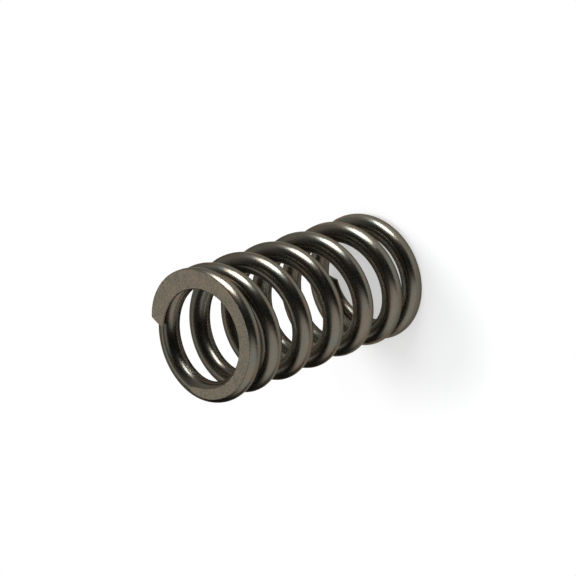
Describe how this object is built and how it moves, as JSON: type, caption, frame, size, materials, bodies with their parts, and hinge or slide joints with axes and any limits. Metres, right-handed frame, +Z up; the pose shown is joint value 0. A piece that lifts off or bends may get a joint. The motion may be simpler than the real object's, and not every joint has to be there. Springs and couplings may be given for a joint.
{
  "type": "engine valve spring",
  "caption": "Round-wire compression spring, right-hand coiled, with closed and flat-ground ends, that pushes an engine valve shut.",
  "frame": {"origin": "centre of the lower ground face, on the surface that the spring stands on", "axes": "+Z up along the spring's axis, from the lower ground face to the upper one; the lower wire tip lies 75.6 degrees from +X towards +Y"},
  "size_m": [0.026, 0.026, 0.0504],
  "materials": {
    "spring_steel": "dark gun-metal drawn wire, semi-gloss, with finely ground matt end faces"
  },
  "bodies": {
    "root": {"valve_spring": "spring_steel"}
  },
  "joints": []
}
